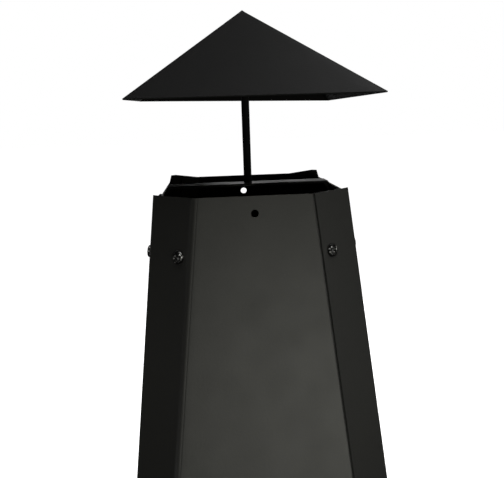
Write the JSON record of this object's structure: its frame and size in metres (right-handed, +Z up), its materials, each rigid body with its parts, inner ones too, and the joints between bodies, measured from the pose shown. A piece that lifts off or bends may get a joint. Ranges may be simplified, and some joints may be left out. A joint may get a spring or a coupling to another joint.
{
  "type": "chiminea",
  "caption": "Free-standing steel garden chiminea: tapered chamfered-corner flue under a square rain hat, with mesh fire door, lift-out grate and ash drawer.",
  "frame": {"origin": "on the ground under the middle of the body", "axes": "+Z up, +Y from the fire door to the back, +X to the right of someone facing the fire door"},
  "size_m": [0.4318, 0.4208, 1.131],
  "materials": {
    "body_paint": "satin heat-resistant black",
    "hat_paint": "satin heat-resistant black",
    "bar_paint": "satin heat-resistant black",
    "black_screws": "gloss black zinc",
    "black_rivets": "semi-gloss black",
    "grate_steel": "bare, heat-blued",
    "inner_paint": "matt black, sooty",
    "mesh_wire": "matt black",
    "handle_paint": "satin black",
    "hinge_steel": "satin black",
    "leg_paint": "satin heat-resistant black"
  },
  "bodies": {
    "body": {"body_rivets": "black_rivets", "chamber_back_panel": "body_paint", "chamber_corner_back_left": "body_paint", "chamber_corner_back_right": "body_paint", "chamber_corner_front_left": "body_paint", "chamber_corner_front_right": "body_paint", "chamber_floor": "inner_paint", "chamber_front_panel": "body_paint", "chamber_left_panel": "body_paint", "chamber_nuts": "black_screws", "chamber_right_panel": "body_paint", "chamber_screws": "black_screws", "chimney_back_panel": "body_paint", "chimney_corner_back_left": "body_paint", "chimney_corner_back_right": "body_paint", "chimney_corner_front_left": "body_paint", "chimney_corner_front_right": "body_paint", "chimney_front_panel": "body_paint", "chimney_left_panel": "body_paint", "chimney_nuts": "black_screws", "chimney_right_panel": "body_paint", "chimney_screws": "black_screws", "crossbar_nuts": "black_screws", "crossbar_screws": "black_screws", "door_catch": "hinge_steel", "drawer_runner_left": "inner_paint", "drawer_runner_right": "inner_paint", "grate_rail_left": "inner_paint", "grate_rail_right": "inner_paint", "hat_crossbar": "bar_paint", "hat_plate": "hat_paint", "hat_rod": "bar_paint", "hat_rod_nut": "black_screws", "hat_shell": "hat_paint", "hinge_body_knuckles": "hinge_steel", "hinge_pins": "hinge_steel", "joining_collar": "inner_paint", "leg_back_left": "leg_paint", "leg_back_right": "leg_paint", "leg_feet": "leg_paint", "leg_front_left": "leg_paint", "leg_front_right": "leg_paint", "leg_nuts": "black_screws", "leg_screws": "black_screws"},
    "door": {"door_frame": "body_paint", "door_mesh": "mesh_wire", "door_handle": "handle_paint", "door_striker": "hinge_steel", "hinge_door_knuckles": "hinge_steel"},
    "drawer": {"ash_drawer": "body_paint", "drawer_front": "body_paint", "drawer_pull": "handle_paint"},
    "grate": {"fire_grate": "grate_steel"}
  },
  "joints": [
    {"name": "fire_door_hinge", "type": "hinge", "parent": "body", "child": "door", "pos_m": [-0.108, -0.16569, 0.33858], "axis": [0, -0.1093, -0.994], "range_deg": [0, 110]},
    {"name": "ash_drawer_slide", "type": "slide", "parent": "body", "child": "drawer", "axis": [0, -1, 0], "range_m": [0, 0.19]},
    {"name": "fire_grate_lift", "type": "slide", "parent": "body", "child": "grate", "axis": [0, 0, 1], "range_m": [0, 0.04]}
  ]
}
